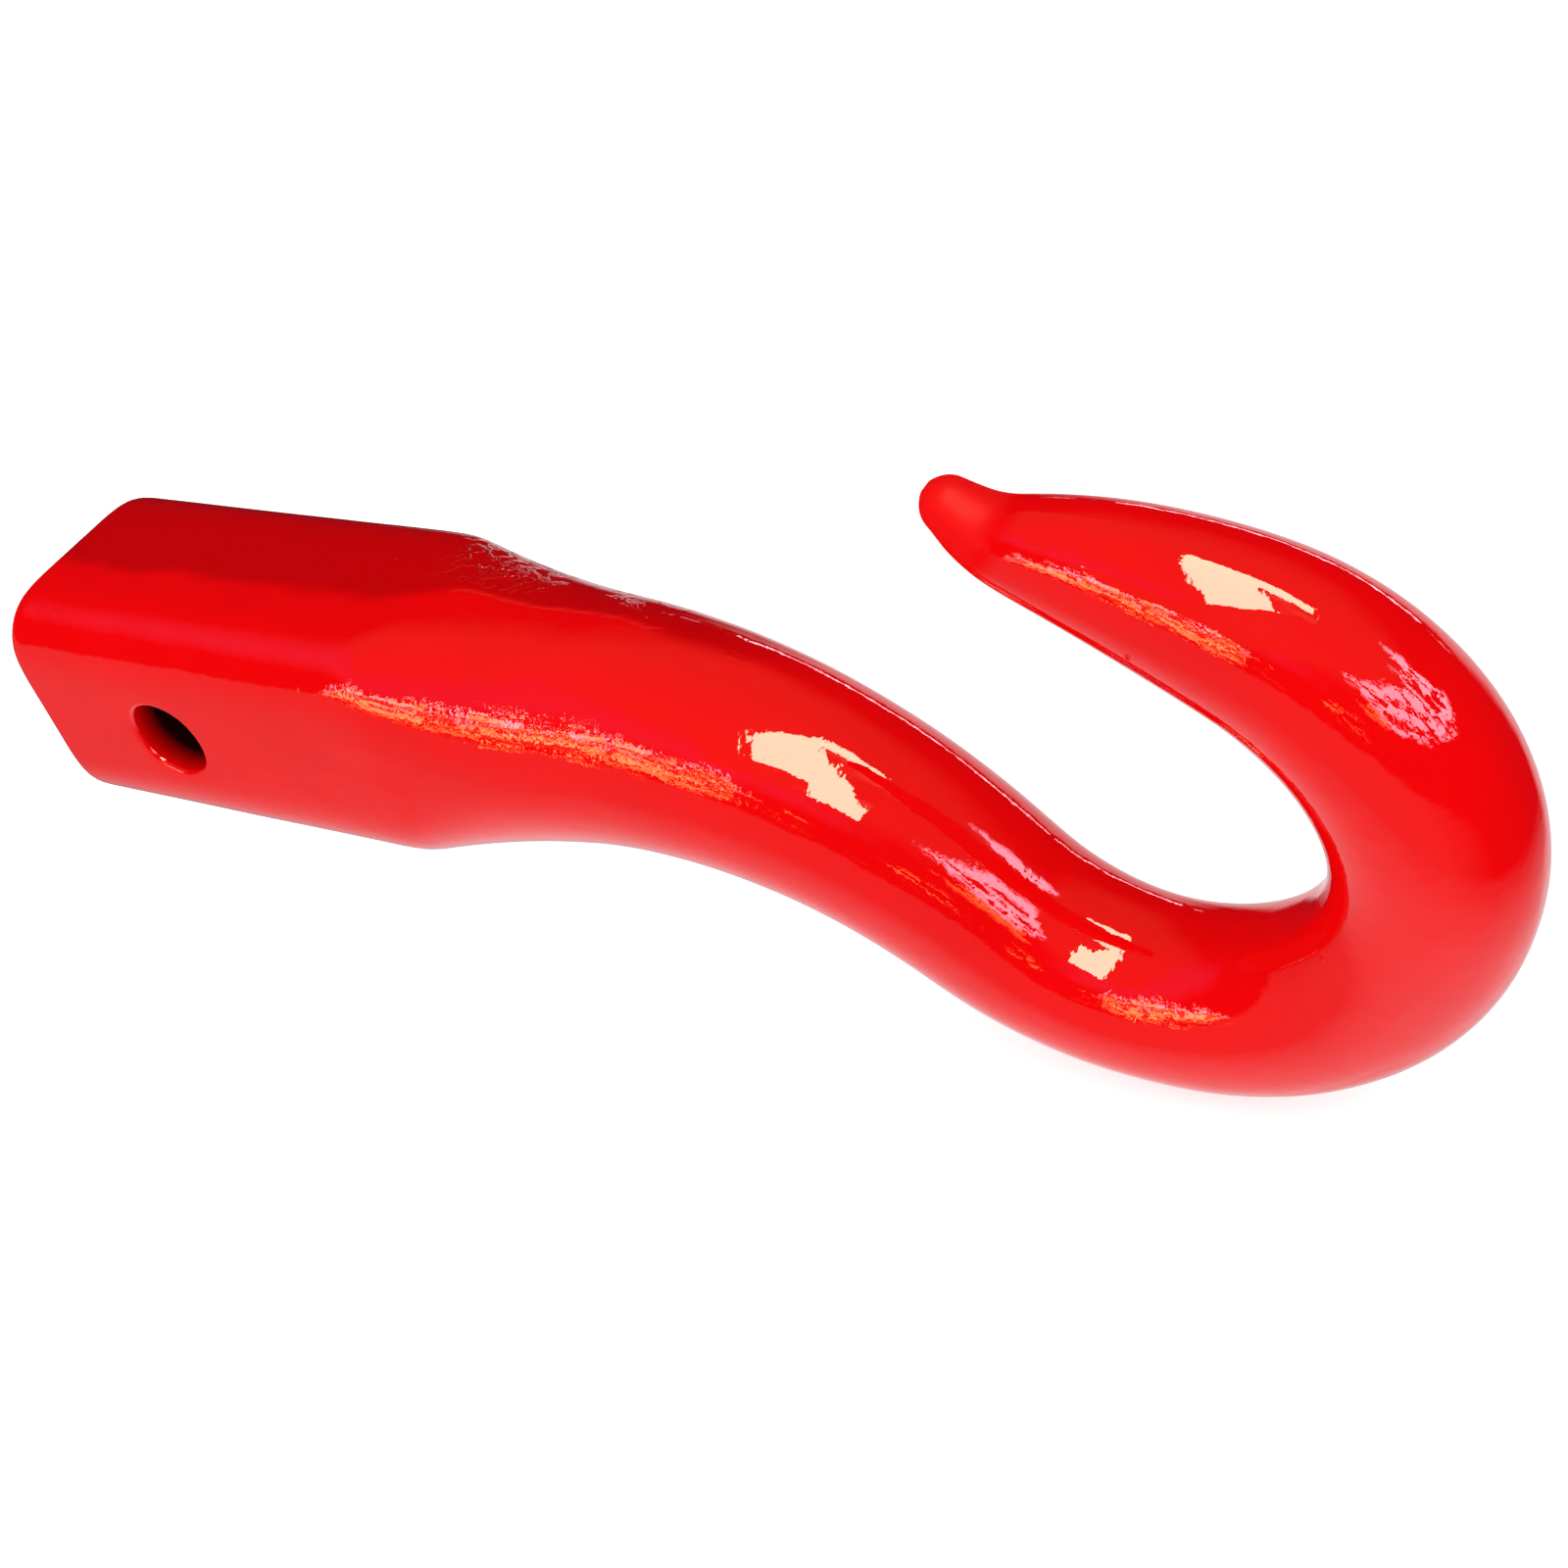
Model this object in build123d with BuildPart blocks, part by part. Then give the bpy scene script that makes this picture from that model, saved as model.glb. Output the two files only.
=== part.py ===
"""Recovery tow hook: one drop forging, a square shank with a cross pin hole that runs out into a round hook."""
import os
from build123d import *

# The frame: the origin is the centre of the pin hole, +X runs along the shank to the hook,
# +Z points to the side where the hook opens, and the hook's own plane is Y = 0.

# Shank, in millimetres: a solid square bar that slides into a receiver tube
shank_width = 50.0
shank_corner_radius = 12.0
shank_end_radius = 3.5
pin_to_shank_end = 36.0
pin_to_shoulder = 53.0
pin_hole_diameter = 16.5
pin_hole_rim_radius = 2.0

# Centreline of the hook, in millimetres and degrees, from the shoulder to the tip
shoulder_run = 37.3
neck_bend_radius = 95.5
neck_bend_angle = 43.6
neck_run = 6.2
bowl_bend_radius = 45.5
bowl_bend_angle = 108.8
crown_bend_radius = 41.0
crown_bend_angle = 87.9
arm_bend_radius = 125.0
arm_bend_angle = 16.8
tip_bend_radius = 14.5
tip_bend_angle = 32.0
tip_run = 4.0

# Thickness of the hook, in millimetres. It falls from the shank's width to the bowl's diameter,
# and then to the tip's. Each power says how the loss is spread over the taper: 1 would be even.
bowl_diameter = 30.9
tip_diameter = 9.0
neck_taper_end = 149.0
neck_taper_power = 1.35
arm_taper_start = 220.0
arm_taper_power = 2.4

# Flat left on each side of the hook's round section, as a share of its thickness: the trimmed
# flash land. The shank's own flats fade into it over a distance from the shoulder, in millimetres.
flash_land_share = 0.08
shoulder_taper_length = 39.5

# Greatest distance between the sections that the hook is swept through
section_spacing = 10.0


# Centreline of the hook: straight out of the shank, down the neck, round the bowl and the crown,
# back along the slightly bent arm and out again at the tip, each stretch tangent to the one before
with BuildLine(Plane.XZ) as centreline:
    shoulder = Line((pin_to_shoulder, 0), (pin_to_shoulder + shoulder_run, 0))
    neck_bend = JernArc(shoulder @ 1, shoulder % 1, neck_bend_radius, -neck_bend_angle)
    neck = Line(neck_bend @ 1, neck_bend @ 1 + (neck_bend % 1) * neck_run)
    bowl = JernArc(neck @ 1, neck % 1, bowl_bend_radius, bowl_bend_angle)
    crown = JernArc(bowl @ 1, bowl % 1, crown_bend_radius, crown_bend_angle)
    arm = JernArc(crown @ 1, crown % 1, arm_bend_radius, arm_bend_angle)
    tip_bend = JernArc(arm @ 1, arm % 1, tip_bend_radius, -tip_bend_angle)
    tip = Line(tip_bend @ 1, tip_bend @ 1 + (tip_bend % 1) * tip_run)

path = centreline.wire()


def hook_thickness(distance):
    """The hook's thickness at a distance along the centreline from the shoulder."""
    neck_share = max(1.0 - distance / neck_taper_end, 0.0)
    arm_share = max(distance - arm_taper_start, 0.0) / (path.length - arm_taper_start)
    neck_gain = (shank_width - bowl_diameter) * neck_share**neck_taper_power
    arm_loss = (bowl_diameter - tip_diameter) * arm_share**arm_taper_power
    return bowl_diameter + neck_gain - arm_loss


def side_flat(distance):
    """The flat on each side: the shank's flat side, fading to the narrow land where the flash was trimmed."""
    shank_flat = shank_width - 2 * shank_corner_radius
    flash_land = flash_land_share * hook_thickness(distance)
    shoulder_share = max(1.0 - distance / shoulder_taper_length, 0.0)
    return flash_land + (shank_flat - flash_land) * shoulder_share**2


with BuildPart() as tow_hook:
    # Shank: the square bar with its long edges rounded, and its free end rounded over
    with BuildSketch(Plane.YZ.offset(-pin_to_shank_end)):
        RectangleRounded(shank_width, shank_width, shank_corner_radius)
    extrude(amount=pin_to_shank_end + pin_to_shoulder)
    fillet(tow_hook.faces().sort_by(Axis.X)[0].edges(), shank_end_radius)

    # Hook: evenly spaced sections, each square to the centreline, swept into one another along it
    section_count = round(path.length / section_spacing)
    for step in range(section_count + 1):
        distance = path.length * step / section_count
        place = path.position_at(distance, position_mode=PositionMode.LENGTH)
        heading = path.tangent_at(distance, position_mode=PositionMode.LENGTH)
        thickness = hook_thickness(distance)
        with BuildSketch(Plane(place, x_dir=(0, 1, 0), z_dir=heading)):
            RectangleRounded(thickness, thickness, (thickness - side_flat(distance)) / 2)
    sweep(path=path, multisection=True)

    # Nose: the tip ends in a ball as wide as its last section
    with Locations(path @ 1):
        Sphere(tip_diameter / 2)

    # Pin hole across the shank, with a rounded rim on both sides
    with Locations(Plane.XZ):
        Hole(pin_hole_diameter / 2)
    rims = tow_hook.edges(Select.LAST).filter_by(GeomType.CIRCLE)
    fillet(rims, pin_hole_rim_radius)

tow_hook.part.label = "tow_hook"

os.makedirs("parts", exist_ok=True)
export_step(tow_hook.part, "parts/tow_hook.step")
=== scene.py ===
# %% [markdown]
# A recovery tow hook in Blender. The real one is a single drop forging: a square shank that slides
# into a receiver, and a round hook that grows out of it. It is dipped in thick glossy red paint.
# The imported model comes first, and everything here is in its frame: the origin is the centre of
# the pin hole, +X runs along the shank to the hook and +Z points to the hook's open side.

# %% Load the frame
import math
import bpy
from mathutils import Matrix, Vector


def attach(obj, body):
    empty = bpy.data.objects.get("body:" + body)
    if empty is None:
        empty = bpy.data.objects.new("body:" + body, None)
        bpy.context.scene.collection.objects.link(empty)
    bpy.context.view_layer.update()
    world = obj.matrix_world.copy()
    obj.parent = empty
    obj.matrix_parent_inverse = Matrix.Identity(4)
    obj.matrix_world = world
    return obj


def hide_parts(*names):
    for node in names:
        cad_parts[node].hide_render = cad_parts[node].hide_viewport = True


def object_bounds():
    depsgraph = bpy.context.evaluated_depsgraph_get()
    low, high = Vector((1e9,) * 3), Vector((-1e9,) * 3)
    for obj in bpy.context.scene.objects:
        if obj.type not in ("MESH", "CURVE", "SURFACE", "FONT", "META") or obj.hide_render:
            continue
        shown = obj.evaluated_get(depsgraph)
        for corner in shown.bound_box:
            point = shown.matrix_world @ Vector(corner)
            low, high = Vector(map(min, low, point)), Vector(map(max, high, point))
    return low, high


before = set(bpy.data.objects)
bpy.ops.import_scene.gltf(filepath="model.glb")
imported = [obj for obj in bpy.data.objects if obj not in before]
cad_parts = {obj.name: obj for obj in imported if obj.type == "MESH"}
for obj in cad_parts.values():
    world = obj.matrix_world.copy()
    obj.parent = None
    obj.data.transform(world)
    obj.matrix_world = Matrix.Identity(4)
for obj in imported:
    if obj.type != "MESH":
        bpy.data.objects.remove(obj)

cad_box = [list(corner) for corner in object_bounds()]
print("CAD box, in metres:", cad_box)

# %% [markdown]
# The camera. The photograph looks down on the hook from its front, near enough to make the bowl
# look larger than the shank. The place, the point looked at and the roll were found by laying the
# model's outline over the photograph's.

# %% Camera
camera_place = Vector((0.3137, -0.2230, 0.2294))
camera_target = Vector((0.1233, 0.0, -0.0093))
camera_roll = math.radians(-18.6)
camera_lens = 49.96

camera = bpy.data.objects.new("camera", bpy.data.cameras.new("camera"))
bpy.context.scene.collection.objects.link(camera)
view_turn = (camera_target - camera_place).to_track_quat("-Z", "Y")
camera.matrix_world = (
    Matrix.Translation(camera_place)
    @ view_turn.to_matrix().to_4x4()
    @ Matrix.Rotation(camera_roll, 4, "Z")
)
camera.data.lens = camera_lens
camera.data.sensor_width = 36.0
camera.data.clip_start = 0.01
bpy.context.scene.camera = camera
bpy.context.scene.view_settings.view_transform = "Standard"
distance_looked = (camera_target - camera_place).length
print("camera:", round(distance_looked * 1000), "mm from its target, lens", camera_lens, "mm")

# %% [markdown]
# Shape helpers. A forging has no seams, so the whole hook is one skin of four-sided faces: a ring
# of vertices is extruded from section to section, and each ring is then laid on the hook's own
# section there. Even faces matter more than many: gloss paint shows every kink as a broken glint.

# %% Sizes, in metres, as the forging is made
shank_width = 0.050
shank_corner_radius = 0.012
shank_end_radius = 0.0035
pin_to_shank_end = 0.036
pin_to_shoulder = 0.053
pin_hole_radius = 0.00825
pin_hole_rim_radius = 0.0012

bowl_diameter = 0.0309
tip_diameter = 0.0090
neck_taper_end = 0.149
neck_taper_power = 1.35
arm_taper_start = 0.220
arm_taper_power = 2.4
flash_land_share = 0.08
shoulder_taper_length = 0.0395

# Runs and bends of the centreline: (length, 0) for a straight run, (radius, degrees) for a bend.
# A bend of less than 0 degrees turns down.
centreline = {
    "shoulder": (0.0373, 0),
    "neck bend": (0.0955, -43.6),
    "neck": (0.0062, 0),
    "bowl": (0.0455, 108.8),
    "crown": (0.0410, 87.9),
    "arm": (0.1250, 16.8),
    "tip bend": (0.0145, -32.0),
    "tip": (0.0040, 0),
}
ring_spacing = 0.0040


def run_length(size, bend):
    """The length along the centreline of one run or bend."""
    return size * math.radians(abs(bend)) if bend else size


hook_length = sum(run_length(*stretch) for stretch in centreline.values())
print("centreline from the shoulder to the tip:", round(hook_length * 1000), "mm")

# %% Where the rings go


def centreline_stations():
    """(distance from the shoulder, centre, heading angle) of each ring, from the shoulder to the tip."""
    x, z, heading, walked = pin_to_shoulder, 0.0, 0.0, 0.0
    stations = [(0.0, Vector((x, 0, z)), 0.0)]
    for size, bend in centreline.values():
        length = run_length(size, bend)
        count = max(round(length / ring_spacing), 2)
        for _ in range(count):
            turn = math.radians(bend) / count
            chord = 2 * size * math.sin(abs(turn) / 2) if bend else length / count
            x += chord * math.cos(heading + turn / 2)
            z += chord * math.sin(heading + turn / 2)
            heading += turn
            walked += length / count
            stations.append((walked, Vector((x, 0, z)), heading))
    return stations


def hook_thickness(distance):
    """The forging's thickness at a distance from the shoulder along the centreline."""
    if distance <= 0:
        return shank_width
    neck_share = max(1 - distance / neck_taper_end, 0)
    arm_share = max(distance - arm_taper_start, 0) / (hook_length - arm_taper_start)
    neck_gain = (shank_width - bowl_diameter) * neck_share**neck_taper_power
    arm_loss = (bowl_diameter - tip_diameter) * arm_share**arm_taper_power
    return bowl_diameter + neck_gain - arm_loss


def squareness(distance):
    """1 on the square shank, fading to 0 where the shoulder has run out into the round hook."""
    return max(1 - max(distance, 0) / shoulder_taper_length, 0) ** 2


# %% [markdown]
# The section. A square bar with rounded long edges becomes a round bar by way of one formula: the
# distance from the centre to a rounded square's outline in any direction. On the flats the
# vertices stand closer together, so that a square patch of faces is left for the pin hole.

# %% Section of the forging
ring_count = 32
# Half the width of the square patch of faces for the pin hole
patch_half = 0.0125


def smoothing_ease(count):
    """How much wider to lay a ring of count vertices, because smoothing draws it in a little."""
    return 6 / (4 + 2 * math.cos(2 * math.pi / count))


def outline_radius(angle, half, corner):
    """Distance from the centre to the outline of a rounded square, in the direction of angle."""
    turn = (angle + math.pi / 4) % (math.pi / 2) - math.pi / 4
    along, across = math.cos(turn), abs(math.sin(turn))
    flat = half - corner
    if half * across <= flat * along:
        return half / along
    centre = flat * (along + across)
    return centre + math.sqrt(max(centre**2 - 2 * flat**2 + corner**2, 0))


def vertex_angle(index, square):
    """The direction of a ring's vertex: evenly spread on a round bar, nearer the flats on a square one."""
    even = 2 * math.pi * index / ring_count
    quarter = math.pi / 2
    side = round(even / quarter)
    share = (even - side * quarter) / (quarter / 2)
    flat_end = math.atan(patch_half / (shank_width / 2))
    if abs(share) <= 0.5:
        off_middle = math.atan(2 * abs(share) * patch_half / (shank_width / 2))
    else:
        off_middle = flat_end + (2 * abs(share) - 1) * (math.pi / 4 - flat_end)
    packed = side * quarter + math.copysign(off_middle, share)
    return even + (packed - even) * square


def section_point(index, centre, heading, distance):
    """Where a ring's vertex lies on the forging's section at a distance from the shoulder."""
    square = squareness(distance)
    half = hook_thickness(distance) / 2
    land = 2 * half * flash_land_share
    flat = land + (shank_width - 2 * shank_corner_radius - land) * square
    angle = vertex_angle(index, square)
    reach = outline_radius(angle, half, half - flat / 2)
    reach *= 1 + (smoothing_ease(ring_count) - 1) * (1 - square)
    up = Vector((-math.sin(heading), 0, math.cos(heading)))
    return centre + up * (reach * math.cos(angle)) + Vector((0, reach * math.sin(angle), 0))


print("thickness every 50 mm:", [round(hook_thickness(0.05 * step) * 1000, 1) for step in range(7)])

# %% [markdown]
# The skin. One circle primitive is the shank's free end. Its edge is extruded ring by ring along
# the shank and round the hook, and each new ring is laid on its section.

# %% Extrude the skin of the hook


def select_only(piece):
    """Deselects everything, then selects one object and makes it the active one."""
    bpy.ops.object.select_all(action="DESELECT")
    piece.select_set(True)
    bpy.context.view_layer.objects.active = piece


# The shank's rings: two at the rounding of its end, five across the patch for the pin hole with one
# on each side of them, and four more on the way to the shoulder
end_ring = -pin_to_shank_end + shank_end_radius
patch_rings = [patch_half / 2 * step for step in range(-2, 3)]
shank_rings = [end_ring, end_ring + 0.003, -0.0190, *patch_rings, 0.0190]
shank_rings += [0.0255, 0.0320, 0.0385, 0.0455]
rings = [(x - pin_to_shoulder, Vector((x, 0, 0)), 0.0) for x in shank_rings]
rings += centreline_stations()

bpy.ops.object.select_all(action="DESELECT")
bpy.ops.mesh.primitive_circle_add(vertices=ring_count, radius=shank_width / 2)
hook = bpy.context.active_object
hook.name = "hook_forging"
bpy.ops.object.mode_set(mode="EDIT")
bpy.ops.mesh.select_all(action="SELECT")
for _ in rings[1:]:
    bpy.ops.mesh.extrude_edges_move()
bpy.ops.object.mode_set(mode="OBJECT")

for number, (distance, centre, heading) in enumerate(rings):
    for index in range(ring_count):
        vertex = hook.data.vertices[number * ring_count + index]
        vertex.co = section_point(index, centre, heading, distance)
print("rings:", len(rings), "vertices:", len(hook.data.vertices))

# %% [markdown]
# The two ends. The shank's free end is extruded inwards round a quarter circle and closed with a
# grid of faces, so that it stays flat and even. The tip is closed the same way, as a ball.

# %% Close the shank's end and the tip
end_steps = 4
# Share of the tip's radius that is left open for its closing grid of faces
tip_grid_share = 0.22


def select_vertices(piece, wanted):
    """Selects the vertices for which wanted is true, and the edges and faces between them."""
    bpy.ops.object.mode_set(mode="EDIT")
    bpy.ops.mesh.select_mode(type="VERT")
    bpy.ops.mesh.select_all(action="DESELECT")
    bpy.ops.object.mode_set(mode="OBJECT")
    for vertex in piece.data.vertices:
        vertex.select = wanted(vertex)
    bpy.ops.object.mode_set(mode="EDIT")


def close_end(first, centre, outward, radius, inset):
    """Rounds an open ring over by radius and closes it. inset draws a vertex in by a distance."""
    select_vertices(hook, lambda vertex: first <= vertex.index < first + ring_count)
    start = [hook.data.vertices[first + index].co.copy() for index in range(ring_count)]
    for step in range(1, end_steps + 1):
        turn = math.pi / 2 * step / end_steps
        bpy.ops.mesh.extrude_edges_move()
        bpy.ops.object.mode_set(mode="OBJECT")
        new_ring = len(hook.data.vertices) - ring_count
        for index in range(ring_count):
            inward = inset(start[index] - centre, radius * (1 - math.cos(turn)))
            hook.data.vertices[new_ring + index].co = centre + inward + outward * (radius * math.sin(turn))
        bpy.ops.object.mode_set(mode="EDIT")
    bpy.ops.mesh.fill_grid(span=ring_count // 4)
    bpy.ops.object.mode_set(mode="OBJECT")


def inset_square(offset, amount):
    """Draws a point of the square shank's outline in, keeping the outline a rounded square."""
    return offset * (1 - amount / (shank_width / 2))


def inset_round(offset, amount):
    """Draws a point of the round tip in towards its middle."""
    return offset.normalized() * max(offset.length - amount, tip_diameter / 2 * tip_grid_share)


tip_centre, tip_heading = rings[-1][1], rings[-1][2]
tip_outward = Vector((math.cos(tip_heading), 0, math.sin(tip_heading)))
close_end(0, rings[0][1], Vector((-1, 0, 0)), shank_end_radius, inset_square)
close_end((len(rings) - 1) * ring_count, tip_centre, tip_outward, tip_diameter / 2, inset_round)
print("vertices with both ends closed:", len(hook.data.vertices))

# %% [markdown]
# The pin hole. A square patch of faces was left for it on both sides of the shank. Each patch is
# deleted, its edge is made a circle, and the two circles are bridged into the wall of the hole.
# A bevel then rounds both rims, which on the real hook are soft under their thick paint.

# %% Pin hole through the shank
side = shank_width / 2
hole_ring_count = 16
hole_ring_radius = pin_hole_radius * smoothing_ease(hole_ring_count)
# How far off a vertex may lie and still count as on a line or a plane
hair = 1e-4


def in_patch(place, reach):
    """True for a place in the square patch, reach from its middle, on either side of the shank."""
    return abs(place.x) < reach and abs(place.z) < reach and abs(abs(place.y) - side) < hair


select_vertices(hook, lambda vertex: in_patch(vertex.co, patch_half - hair))
bpy.ops.mesh.delete(type="VERT")
bpy.ops.object.mode_set(mode="OBJECT")
for way in (-1, 1):
    select_vertices(hook, lambda vertex: in_patch(vertex.co, patch_half + hair) and vertex.co.y * way > 0)
    bpy.ops.mesh.extrude_edges_move()
    bpy.ops.transform.tosphere(value=1.0)
    bpy.ops.object.mode_set(mode="OBJECT")
    for vertex in hook.data.vertices:
        if not vertex.select:
            continue
        outward = Vector((vertex.co.x, 0, vertex.co.z)).normalized()
        vertex.co = outward * hole_ring_radius + Vector((0, way * side, 0))


def on_rim(place):
    """True for a place on the edge of the pin hole, on either side of the shank."""
    off_rim = math.hypot(place.x, place.z) - hole_ring_radius
    return abs(off_rim) < hair and abs(abs(place.y) - side) < hair


select_vertices(hook, lambda vertex: on_rim(vertex.co))
bpy.ops.mesh.bridge_edge_loops(number_cuts=8)
bpy.ops.object.mode_set(mode="OBJECT")
select_vertices(hook, lambda vertex: on_rim(vertex.co))
bpy.ops.mesh.bevel(offset=pin_hole_rim_radius, segments=4, profile=0.5, affect="EDGES")
bpy.ops.mesh.select_all(action="SELECT")
bpy.ops.mesh.remove_doubles(threshold=1e-6)
bpy.ops.mesh.normals_make_consistent(inside=False)
bpy.ops.object.mode_set(mode="OBJECT")
print("vertices with the pin hole:", len(hook.data.vertices))

# %% [markdown]
# Smoothing and the forging's unevenness. Two rounds of subdivision make the cage smooth enough for
# gloss. A drop forging is never even: hammered scale and thick paint leave shallow swells, which
# bend the mirrored surroundings. They are cut inwards only, so the hook keeps its size.

# %% Smooth the skin and give it the swells of a forging
swell_size = 0.030
swell_depth = 0.00022

select_only(hook)
smoothing = hook.modifiers.new("smoothing", "SUBSURF")
smoothing.levels = smoothing.render_levels = 2
bpy.ops.object.modifier_apply(modifier=smoothing.name)

swells = bpy.data.textures.new("forging_swells", "CLOUDS")
swells.noise_scale = swell_size
swells.noise_depth = 1
dents = hook.modifiers.new("swells", "DISPLACE")
dents.texture = swells
dents.texture_coords = "LOCAL"
dents.mid_level = 1.0
dents.strength = swell_depth
bpy.ops.object.modifier_apply(modifier=dents.name)
bpy.ops.object.shade_smooth()
triangles = sum(len(face.vertices) - 2 for face in hook.data.polygons)
print("hook_forging triangles:", triangles)

# %% [markdown]
# The paint. The hook is dipped in thick gloss red, so its finish is a red coat under a clear,
# mirror-like skin. The skin is not even: it has a fine orange peel, shallow sags and some grit that
# dried in it. The bare forging is rough on top just past the shoulder and shows through as wrinkles.

# %% Helpers for materials


def start_tree(owner):
    """Empties the node tree of a material or world, and makes it the one the helpers add to."""
    global tree
    owner.use_nodes = True
    tree = owner.node_tree
    tree.nodes.clear()


def add_node(kind, inputs=None, **settings):
    """Adds a node, sets its properties, and sets or links its inputs by name or number."""
    node = tree.nodes.new(kind)
    for name, value in settings.items():
        setattr(node, name, value)
    for name, value in (inputs or {}).items():
        if isinstance(value, bpy.types.NodeSocket):
            tree.links.new(value, node.inputs[name])
        else:
            node.inputs[name].default_value = value
    return node


def maths(operation, *values):
    """One step of arithmetic on numbers or sockets."""
    return add_node("ShaderNodeMath", dict(enumerate(values)), operation=operation).outputs[0]


def vector_maths(operation, *vectors):
    """One step of arithmetic on vectors or sockets. A length or a dot product is a number."""
    node = add_node("ShaderNodeVectorMath", dict(enumerate(vectors)), operation=operation)
    return node.outputs["Value" if operation in ("LENGTH", "DOT_PRODUCT") else "Vector"]


def times(first, *others):
    """The product of numbers or sockets."""
    for other in others:
        first = maths("MULTIPLY", first, other)
    return first


def rise(value, start, end):
    """0 up to start, 1 from end on, and an even rise between them. start may be above end."""
    inputs = {"Value": value, "From Min": start, "From Max": end}
    return add_node("ShaderNodeMapRange", inputs).outputs["Result"]


def between(value, low, high, edge):
    """1 between low and high, fading to 0 over an edge at both."""
    return times(rise(value, low - edge, low + edge), rise(value, high + edge, high - edge))


def noise(place, scale, detail=4.0, roughness=0.5, distortion=0.0):
    """Cloudy values about 0.5, in blobs of 1 / scale, with finer detail and curled by distortion."""
    inputs = {"Vector": place, "Scale": scale, "Detail": detail}
    inputs |= {"Roughness": roughness, "Distortion": distortion}
    return add_node("ShaderNodeTexNoise", inputs).outputs["Fac"]


def sway(cloud, reach):
    """A shift both ways about 0, as noise times reach."""
    return times(maths("SUBTRACT", cloud, 0.5), reach)


def bump(bump_height, depth, under=None):
    """The normals of a relief of that depth, on top of the relief under it."""
    inputs = {"Height": bump_height, "Distance": depth, "Strength": 1.0}
    if under is not None:
        inputs["Normal"] = under
    return add_node("ShaderNodeBump", inputs).outputs["Normal"]


def emission(colour, strength):
    """The shader of something that glows."""
    return add_node("ShaderNodeEmission", {"Color": (*colour, 1.0), "Strength": strength}).outputs[0]


def mix_shaders(share, under, over):
    """One shader laid over another by a share from 0 to 1."""
    return add_node("ShaderNodeMixShader", {0: share, 1: under, 2: over}).outputs[0]


def output(kind, surface):
    """Ends a node tree: the shader that the material or the world shows."""
    add_node(kind, {"Surface": surface})


def mix_colour(under, over, share):
    """One colour laid over another by a share from 0 to 1. Each is a colour or a socket."""
    node = add_node("ShaderNodeMix", {"Factor": share}, data_type="RGBA")
    for slot, colour in ((6, under), (7, over)):
        if isinstance(colour, bpy.types.NodeSocket):
            tree.links.new(colour, node.inputs[slot])
        else:
            node.inputs[slot].default_value = (*colour, 1.0)
    return node.outputs[2]


# %% Red gloss paint
paint_red = (0.82, 0.0012, 0.0018)
# The deeper red serves random blotches and the painted shade on the far half of the top.
deep_red_and_shade = (0.50, 0.0004, 0.0008)
# Nearly black, as painted shade inside the pin hole.
hole_shade_dark = (0.020, 0.001, 0.001)
sag_depth = 0.00014
peel_depth = 0.000040
wrinkle_depth = 0.00035
grit_depth = 0.00025

paint = bpy.data.materials.new("red_gloss_paint")
start_tree(paint)
place = add_node("ShaderNodeTexCoord").outputs["Object"]
along_x, across_y, up_z = add_node("ShaderNodeSeparateXYZ", {"Vector": place}).outputs

# The pigment: nearly even, with deeper blotches. The far half of the top, from the shank to the middle
# of the neck, is darkened to deeper red as painted shade, and the hole nearly to black as painted shade.
shade_boundary = maths("MULTIPLY_ADD", rise(along_x, 0.046, 0.064), 0.008, -0.004)
past_shade_boundary = maths("ADD", maths("SUBTRACT", across_y, shade_boundary), sway(noise(place, 60.0), 0.007))
# Painted shade: the far half of the top is darkened to the deeper red in the base colour.
painted_shade_top = times(rise(past_shade_boundary, -0.003, 0.001), rise(up_z, 0.006, 0.018), rise(along_x, 0.150, 0.120))
blotches = times(rise(noise(place, 40.0), 0.40, 0.75), 0.16)
pigment = mix_colour(paint_red, deep_red_and_shade, maths("MAXIMUM", times(painted_shade_top, 0.85), blotches))
# Painted shade: the inside of the pin hole is darkened nearly to black in the base colour.
off_axis = maths("SQRT", maths("ADD", times(along_x, along_x), times(up_z, up_z)))
in_hole = times(rise(off_axis, 0.0090, 0.0086), rise(maths("ABSOLUTE", across_y), 0.0235, 0.019))
pigment = mix_colour(pigment, hole_shade_dark, in_hole)

# The skin: sags and orange peel all over
skin = bump(noise(place, 90.0, 2.0), sag_depth)
skin = bump(noise(place, 420.0, 2.0), peel_depth, skin)

# Wrinkles past the shoulder, and a broken lip along the edge of the painted shade on the top
past_shoulder = between(along_x, 0.057, 0.100, 0.006)
wrinkled = times(past_shoulder, rise(across_y, 0.003, 0.010), rise(up_z, 0.010, 0.016))
ridges = maths("ABSOLUTE", maths("SUBTRACT", noise(place, 210.0, 3.0), 0.5))
wrinkles = times(rise(ridges, 0.06, 0.0), wrinkled, rise(noise(place, 70.0), 0.45, 0.55))
lip = times(between(past_shade_boundary, -0.0014, 0.0002, 0.0005), between(along_x, 0.062, 0.120, 0.006))
lip = times(lip, rise(up_z, 0.010, 0.014), rise(noise(place, 50.0), 0.44, 0.50))
skin = bump(maths("MAXIMUM", wrinkles, times(lip, 0.5)), wrinkle_depth, skin)

# Specks of grit
speck_inputs = {"Vector": place, "Scale": 55.0, "Randomness": 1.0}
off_speck = add_node("ShaderNodeTexVoronoi", speck_inputs).outputs["Distance"]
skin = bump(rise(off_speck, 0.035, 0.0), grit_depth, skin)

# The tip is rubbed dull: its gloss fades first, and what is left of it then blurs. There is hardly
# any gloss in the hole.
off_tip = vector_maths("LENGTH", vector_maths("SUBTRACT", place, tip_centre))
rubbed = rise(off_tip, 0.0135, 0.0105)
worn = rise(off_tip, 0.0112, 0.0075)
gloss = times(maths("SUBTRACT", 1.0, times(in_hole, 0.9)), maths("SUBTRACT", 1.0, times(rubbed, 0.88)))

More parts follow.
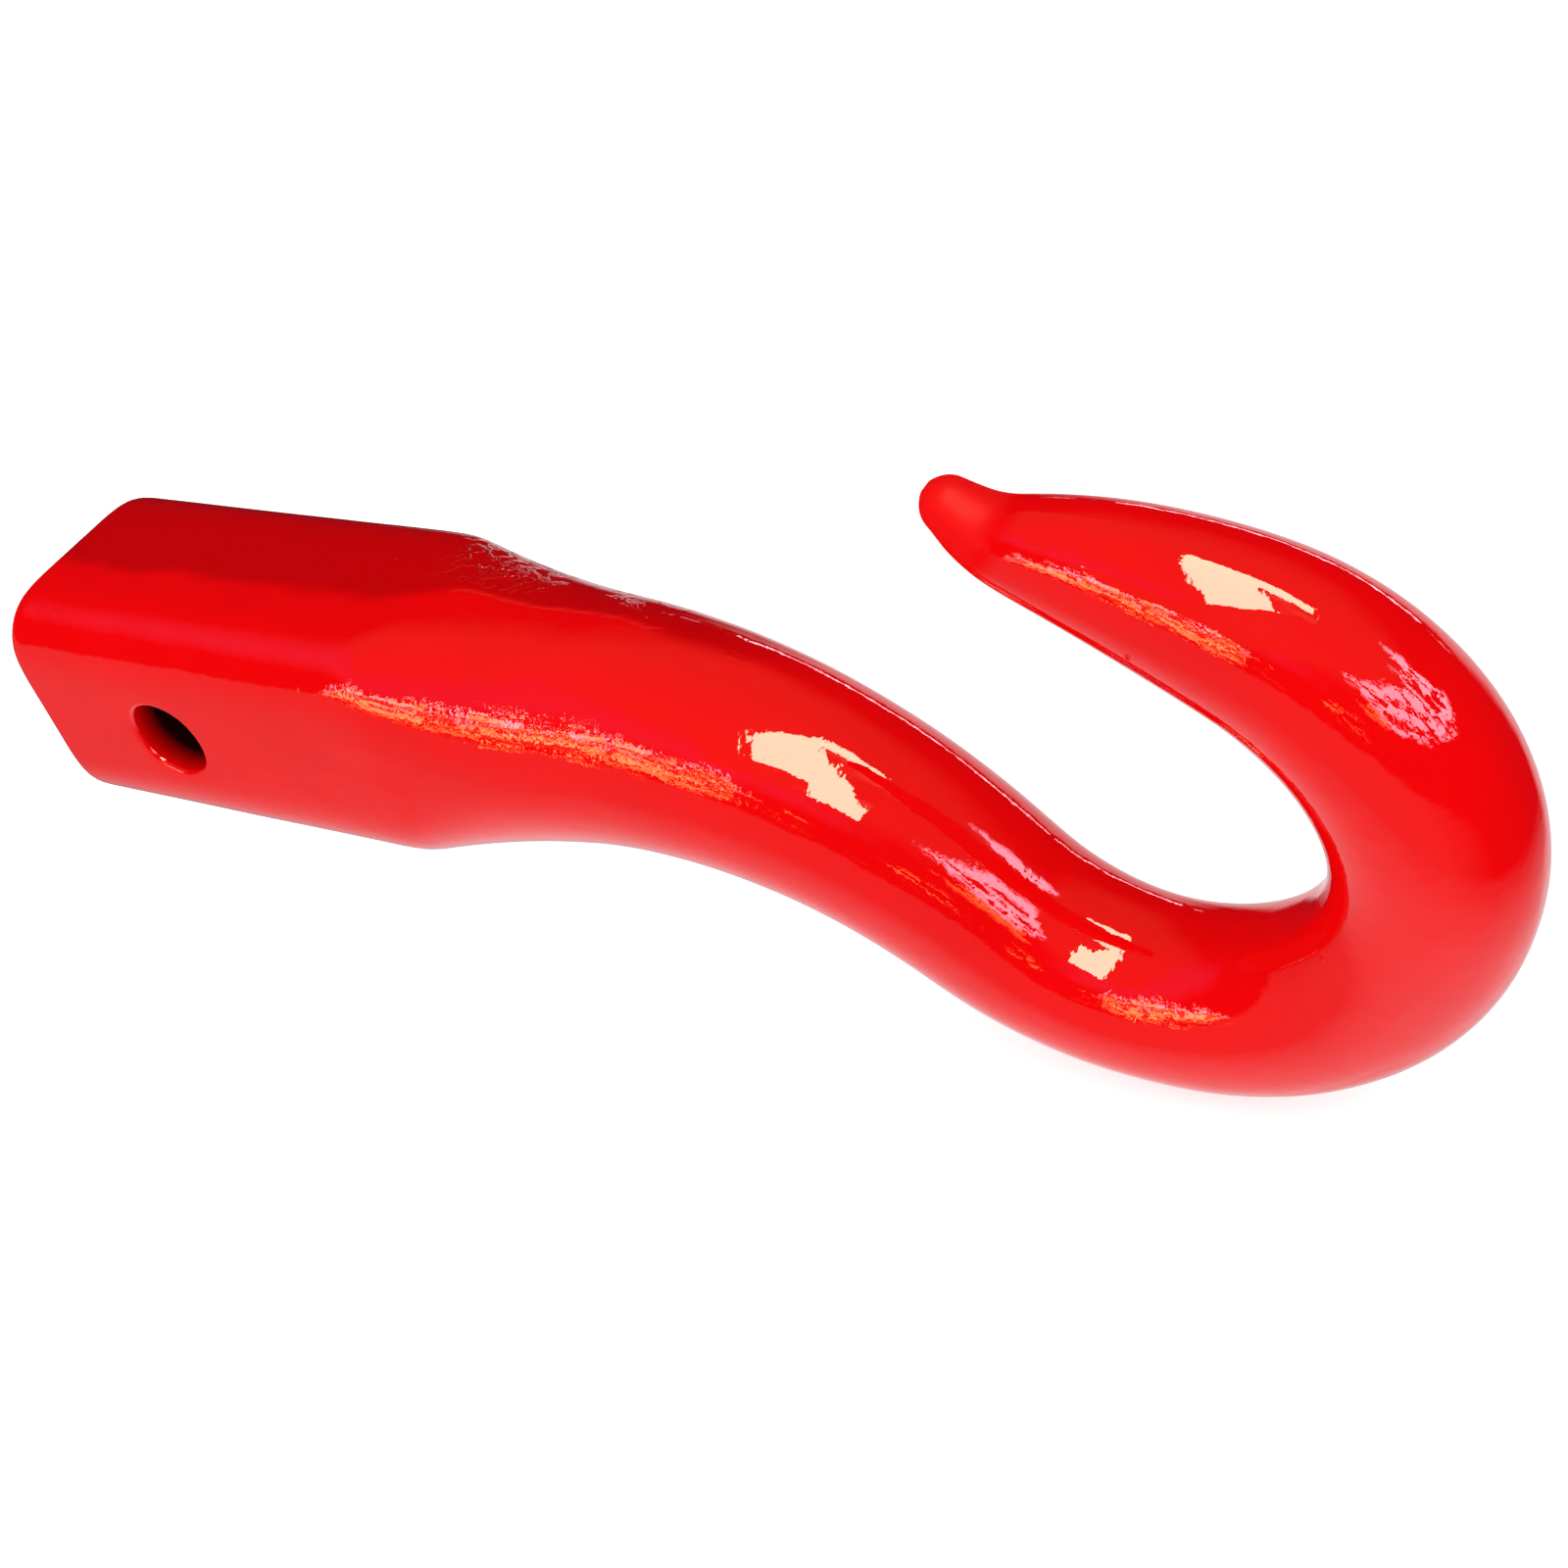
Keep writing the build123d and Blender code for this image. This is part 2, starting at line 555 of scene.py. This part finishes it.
finish = {
    "Base Color": pigment,
    "Roughness": 0.45,
    "Specular IOR Level": 0.0,
    "Coat Weight": gloss,
    "Coat Roughness": maths("MULTIPLY_ADD", worn, 0.45, 0.025),
    "Coat IOR": 1.5,
    "Normal": skin,
    "Coat Normal": skin,
}
output("ShaderNodeOutputMaterial", add_node("ShaderNodeBsdfPrincipled", finish).outputs["BSDF"])
hook.data.materials.clear()
hook.data.materials.append(paint)

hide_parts("tow_hook")
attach(hook, "root")
print("red_gloss_paint:", len(paint.node_tree.nodes), "nodes")

# %% [markdown]
# The surroundings. Gloss paint shows what it mirrors, so the world is a plain yard seen only in
# the paint: pale ground, a dim sky, a ragged sunlit fence near by with bright sky on top of it,
# more sky between leaves to the right, and a bright line along the far horizon. Colours above 1
# are sunlit: the paint mirrors only about a twentieth of what is in front of it.

# %% Colours of the yard
dusk = (0.02, 0.01, 0.02)
sky_haze = (0.20, 0.20, 0.15)
near_sky_violet = (0.20, 0.18, 0.42)
near_ground_grey = (0.35, 0.32, 0.33)
bright_ground = (1.05, 0.97, 1.0)
far_ground = (0.85, 0.78, 0.80)
far_line_white = (9.0, 6.5, 7.5)
fence_red = (2.5, 0.25, 0.15)
fence_orange = (13.0, 4.2, 1.2)
fence_gold = (18.0, 9.0, 3.6)
fence_sky_pink = (15.0, 10.0, 13.0)
shred_orange = (10.0, 3.0, 0.8)
open_sky_pink = (11.0, 7.8, 10.0)

# %% World
# The hook lay askew in the yard, so the yard's own up is tilted in the hook's frame
yard_tilt = math.radians(12)
up = Vector((math.sin(yard_tilt), 0, math.cos(yard_tilt)))

world = bpy.data.worlds.new("yard")
bpy.context.scene.world = world
start_tree(world)
looked_at = add_node("ShaderNodeTexCoord").outputs["Generated"]
right, away, above = add_node("ShaderNodeSeparateXYZ", {"Vector": looked_at}).outputs
azimuth = maths("ARCTAN2", right, times(away, -1.0))
height = vector_maths("DOT_PRODUCT", looked_at, up)


def yard_place(across, upward):
    """A place for noise in the yard, with its own scale across and upward."""
    inputs = {"X": times(azimuth, across), "Y": times(height, upward)}
    return add_node("ShaderNodeCombineXYZ", inputs).outputs[0]


patches = noise(yard_place(9.0, 5.0), 1.0)
squiggles = noise(yard_place(15.0, 10.0), 1.0, 3.0, 0.7, 1.4)
spikes = noise(yard_place(26.0, 5.0), 1.0, 4.0, 0.75)
threads = noise(yard_place(24.0, 12.0), 1.0, 4.0, 0.6, 0.8)
leaves = noise(looked_at, 9.0, 5.0, 0.66)

# The sky: dark low down, hazy overhead, and faintly violet on the camera's side
yard = mix_colour(dusk, sky_haze, rise(height, 0.52, 0.74))
violet = times(between(height, 0.44, 0.72, 0.08), rise(away, 0.2, -0.2), rise(azimuth, 0.5, 0.2))
yard = mix_colour(yard, near_sky_violet, violet)

# The ground: grey near by, bright straight below and on the far side
far = rise(maths("ABSOLUTE", azimuth), 2.68, 2.85)
ground = rise(maths("ADD", height, sway(patches, 0.03)), -0.05, -0.11)
near = times(ground, rise(azimuth, -2.0, -1.0), rise(azimuth, 1.30, 0.50))
yard = mix_colour(yard, near_ground_grey, near)
yard = mix_colour(yard, bright_ground, times(ground, rise(above, -0.55, -0.85)))
behind = maths("MAXIMUM", far, times(rise(azimuth, -2.40, -2.47), rise(height, -0.24, -0.40)))
yard = mix_colour(yard, far_ground, times(ground, behind))

# The bright line along the far horizon
far_line = times(far, between(height, 0.02, 0.06, 0.012), rise(noise(looked_at, 12.0), 0.42, 0.48))
yard = mix_colour(yard, far_line_white, far_line)

# The fence near by: sunlit orange in ragged streaks, with broken bright sky along its top
leaning = maths("SUBTRACT", azimuth, times(height, 0.38))
fence_end = rise(maths("ADD", leaning, sway(spikes, 0.30)), -0.16, -0.19)
fence_reach = times(rise(azimuth, -0.74, -0.68), fence_end)
fence_top = maths("SUBTRACT", 0.38, times(rise(azimuth, -0.46, -0.74), 0.26))
over_fence = maths("SUBTRACT", height, maths("ADD", fence_top, sway(spikes, 1.30)))
over_foot = maths("ADD", height, sway(spikes, 0.80))
fence = times(fence_reach, rise(over_foot, -0.05, -0.02), rise(over_fence, 0.02, 0.0))
over_sky_foot = maths("ADD", over_fence, times(rise(azimuth, -0.20, -0.34), 0.08))
fence_sky = times(fence_reach, rise(over_sky_foot, -0.04, -0.02), rise(over_fence, 0.04, 0.02))
yard = mix_colour(yard, fence_red, fence)
yard = mix_colour(yard, fence_orange, times(fence, rise(squiggles, 0.49, 0.51)))
yard = mix_colour(yard, fence_gold, times(fence, rise(squiggles, 0.57, 0.60)))
yard = mix_colour(yard, fence_sky_pink, times(fence_sky, rise(threads, 0.49, 0.52)))

# More to the right: orange shreds in three places, the last of them at the edge of the open sky
low_shreds = times(between(azimuth, -0.06, 0.06, 0.02), between(height, 0.03, 0.32, 0.04))
slant = rise(maths("SUBTRACT", height, times(azimuth, 0.90)), -0.26, -0.22)
slanted_shreds = times(between(azimuth, 0.26, 0.50, 0.02), between(height, 0.08, 0.30, 0.03), slant)
sky_edge = times(between(azimuth, 0.66, 0.95, 0.04), between(height, 0.38, 0.50, 0.03))
for part, broken in (
    (low_shreds, rise(threads, 0.60, 0.62)),
    (slanted_shreds, rise(threads, 0.585, 0.605)),
    (sky_edge, rise(leaves, 0.48, 0.51)),
):
    yard = mix_colour(yard, shred_orange, times(part, broken))

# Then pale pink sky between leaves
open_sky = times(between(azimuth, 0.82, 2.10, 0.04), between(height, 0.36, 0.70, 0.02))
yard = mix_colour(yard, open_sky_pink, times(open_sky, rise(leaves, 0.495, 0.51)))

# What lights the paint itself: an overcast sky, strongest from the front
brightest_side = Vector((0.25, -0.85, 0.45))
daylight_level = maths("ADD", 0.86, times(vector_maths("DOT_PRODUCT", looked_at, brightest_side), 0.60))

# The paint mirrors the yard, daylight lights it, and the camera sees plain white behind it
white = (1.0, 1.0, 1.0, 1.0)
rays = add_node("ShaderNodeLightPath").outputs
mirrored = add_node("ShaderNodeBackground", {"Color": yard, "Strength": 1.0}).outputs[0]
daylight = add_node("ShaderNodeBackground", {"Color": white, "Strength": daylight_level}).outputs[0]
backdrop = add_node("ShaderNodeBackground", {"Color": white, "Strength": 1.0}).outputs[0]
lit = mix_shaders(rays["Is Glossy Ray"], daylight, mirrored)
output("ShaderNodeOutputWorld", mix_shaders(rays["Is Camera Ray"], lit, backdrop))
print("yard:", len(world.node_tree.nodes), "nodes")

# %% [markdown]
# The roof light. The three cream highlights are one opening in a roof, mirrored three times: on
# the neck, in the bowl's foot and on the arm. Here it is a glowing card above the hook that only
# the paint sees, ragged at its edges and with a dark panel over most of its right side.

# %% Roof light
light_place = Vector((0.38, -0.27, 0.60))
light_size = 1.0
light_cream = (1.0, 0.80, 0.55)
light_level = 22.0
# Where the opening and the panel in it begin and end, and how soft their edges are
light_x = (0.22, 0.55)
light_y = (-0.74, 0.20)
panel_y = (-0.60, 0.085)
light_edge = 0.004


def add_card(name, place, size):
    """Adds a level square with a material of its own, and starts the material's node tree."""
    bpy.ops.object.select_all(action="DESELECT")
    bpy.ops.mesh.primitive_plane_add(size=size, location=place)
    card = bpy.context.active_object
    card.name = name
    card.data.materials.append(bpy.data.materials.new(name))
    start_tree(card.data.materials[0])
    return card


def only_mirrored(card):
    """Keeps a card out of the picture and the lighting, so that only the paint sees it."""
    card.visible_camera = card.visible_diffuse = card.visible_shadow = False


roof_light = add_card("roof_light", light_place, light_size)
only_mirrored(roof_light)
place = add_node("ShaderNodeTexCoord").outputs["Object"]
rag = sway(noise(place, 9.0), 0.06)
card_x, card_y, _ = add_node("ShaderNodeSeparateXYZ", {"Vector": place}).outputs
roof_x = maths("ADD", maths("ADD", card_x, light_place.x), rag)
roof_y = maths("ADD", maths("ADD", card_y, light_place.y), rag)
opening = times(between(roof_x, *light_x, light_edge), between(roof_y, *light_y, light_edge))
# The panel begins at a slanted edge and has a faint glow of its own
panel_start = maths("ADD", roof_x, times(roof_y, 0.35))
panel = times(rise(panel_start, 0.384, 0.390), between(roof_y, *panel_y, light_edge))
panel_level = maths("MULTIPLY_ADD", rise(noise(place, 4.0, 3.0), 0.50, 0.70), 1.8, 0.2)
level = maths("ADD", times(maths("SUBTRACT", 1.0, panel), light_level), times(panel, panel_level))
clear = add_node("ShaderNodeBsdfTransparent").outputs[0]
output("ShaderNodeOutputMaterial", mix_shaders(opening, clear, emission(light_cream, level)))
print("roof light:", light_x, "by", light_y, "m, at a height of", round(light_place.z, 2), "m")

# %% [markdown]
# Two small flags hang over the hook, as a photographer would use. They are as dim as the hazy sky
# round them. One keeps the lower half of the roof light out of the arm. The other, over the neck,
# lets the roof light through in a slanted band.

# %% Flags


def hang_flag(name, place, size):
    """Adds a small card of size (x, y) that only the paint sees. Returns it and its cloth's shader."""
    card = add_card(name, place, 1.0)
    bpy.ops.transform.resize(value=(*size, 1.0))
    bpy.ops.object.transform_apply(location=False, rotation=False, scale=True)
    only_mirrored(card)
    print(name, "at", place, "size", size)
    return card, emission(sky_haze, 1.0)


arm_flag, cloth = hang_flag("arm_flag", (0.2225, -0.0261, 0.060), (0.034, 0.026))
arm_flag.rotation_euler.z = math.radians(30)
output("ShaderNodeOutputMaterial", cloth)

_, cloth = hang_flag("neck_flag", (0.155, -0.065, 0.150), (0.080, 0.290))
place = add_node("ShaderNodeTexCoord").outputs["Object"]
flag_x, flag_y, _ = add_node("ShaderNodeSeparateXYZ", {"Vector": place}).outputs
over_band_foot = maths("ADD", flag_y, sway(noise(place, 45.0), 0.016))
over_band_top = maths("SUBTRACT", over_band_foot, times(flag_x, 1.84))
band = times(rise(over_band_foot, -0.056, -0.055), rise(over_band_top, 0.043, 0.042))
clear = add_node("ShaderNodeBsdfTransparent").outputs[0]
output("ShaderNodeOutputMaterial", mix_shaders(band, cloth, clear))

# %% [markdown]
# The floor lies a hair under the hook and catches its shadow. It is lifted to white for the camera
# and isn't mirrored, because the paint mirrors the yard's own ground.

# %% Floor
floor_size = 4.0
floor_gap = 0.0005
floor_glow = 0.55

floor = add_card("floor", (0.1, 0, cad_box[0][2] - floor_gap), floor_size)
floor.visible_glossy = False
matt = add_node("ShaderNodeBsdfDiffuse", {"Color": (0.9, 0.9, 0.9, 1.0)}).outputs[0]
lifted = add_node("ShaderNodeAddShader", {0: matt, 1: emission((1.0, 1.0, 1.0), floor_glow)}).outputs[0]
camera_ray = add_node("ShaderNodeLightPath").outputs["Is Camera Ray"]
output("ShaderNodeOutputMaterial", mix_shaders(camera_ray, matt, lifted))
print("floor height:", round(floor.location.z * 1000, 2), "mm")
